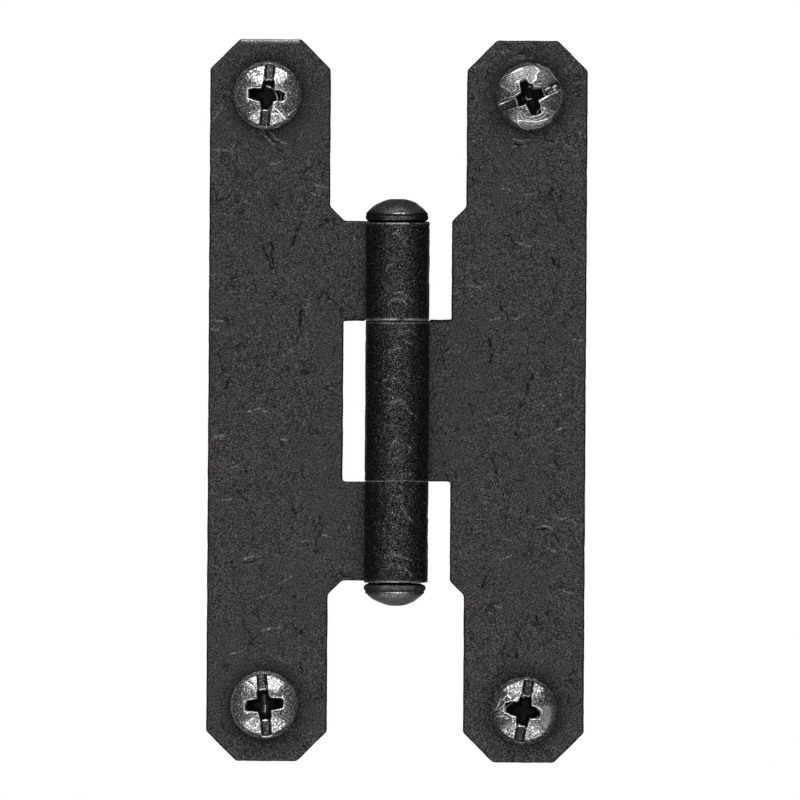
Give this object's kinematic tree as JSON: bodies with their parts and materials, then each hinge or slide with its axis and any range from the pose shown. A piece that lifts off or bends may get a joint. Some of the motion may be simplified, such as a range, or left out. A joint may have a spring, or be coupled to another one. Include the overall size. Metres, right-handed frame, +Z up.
{
  "type": "h hinge",
  "caption": "Flat cabinet hinge in the shape of a letter H: sheet iron leaves with rolled knuckles on a headed pin, and the wood screws that hold the leaves.",
  "frame": {"origin": "on the mounting plane, which is the back of both leaves, behind the pin's axis and halfway up the pin", "axes": "+X to the right and +Z up along the pin as seen from the room; the room is on the -Y side and the screws point towards +Y, into the wood"},
  "size_m": [0.0466, 0.0219, 0.0888],
  "materials": {
    "leaf_iron": "matte black over hammered sheet iron, with fine grain, small wrinkles and shallow dents",
    "pin_iron": "matte to satin black over turned iron",
    "screw_steel": "darkened steel, worn brighter on the crown and at the drive"
  },
  "bodies": {
    "frame_side": {"left_leaf": "leaf_iron", "hinge_pin": "pin_iron", "lower_pin_button": "pin_iron", "upper_left_screw": "screw_steel", "lower_left_screw": "screw_steel"},
    "door_side": {"right_leaf": "leaf_iron", "upper_right_screw": "screw_steel", "lower_right_screw": "screw_steel"}
  },
  "joints": [
    {"name": "door_swing", "type": "hinge", "parent": "frame_side", "child": "door_side", "pos_m": [0, -0.00395, 0], "axis": [0, 0, -1], "range_deg": [-80, 175]}
  ]
}
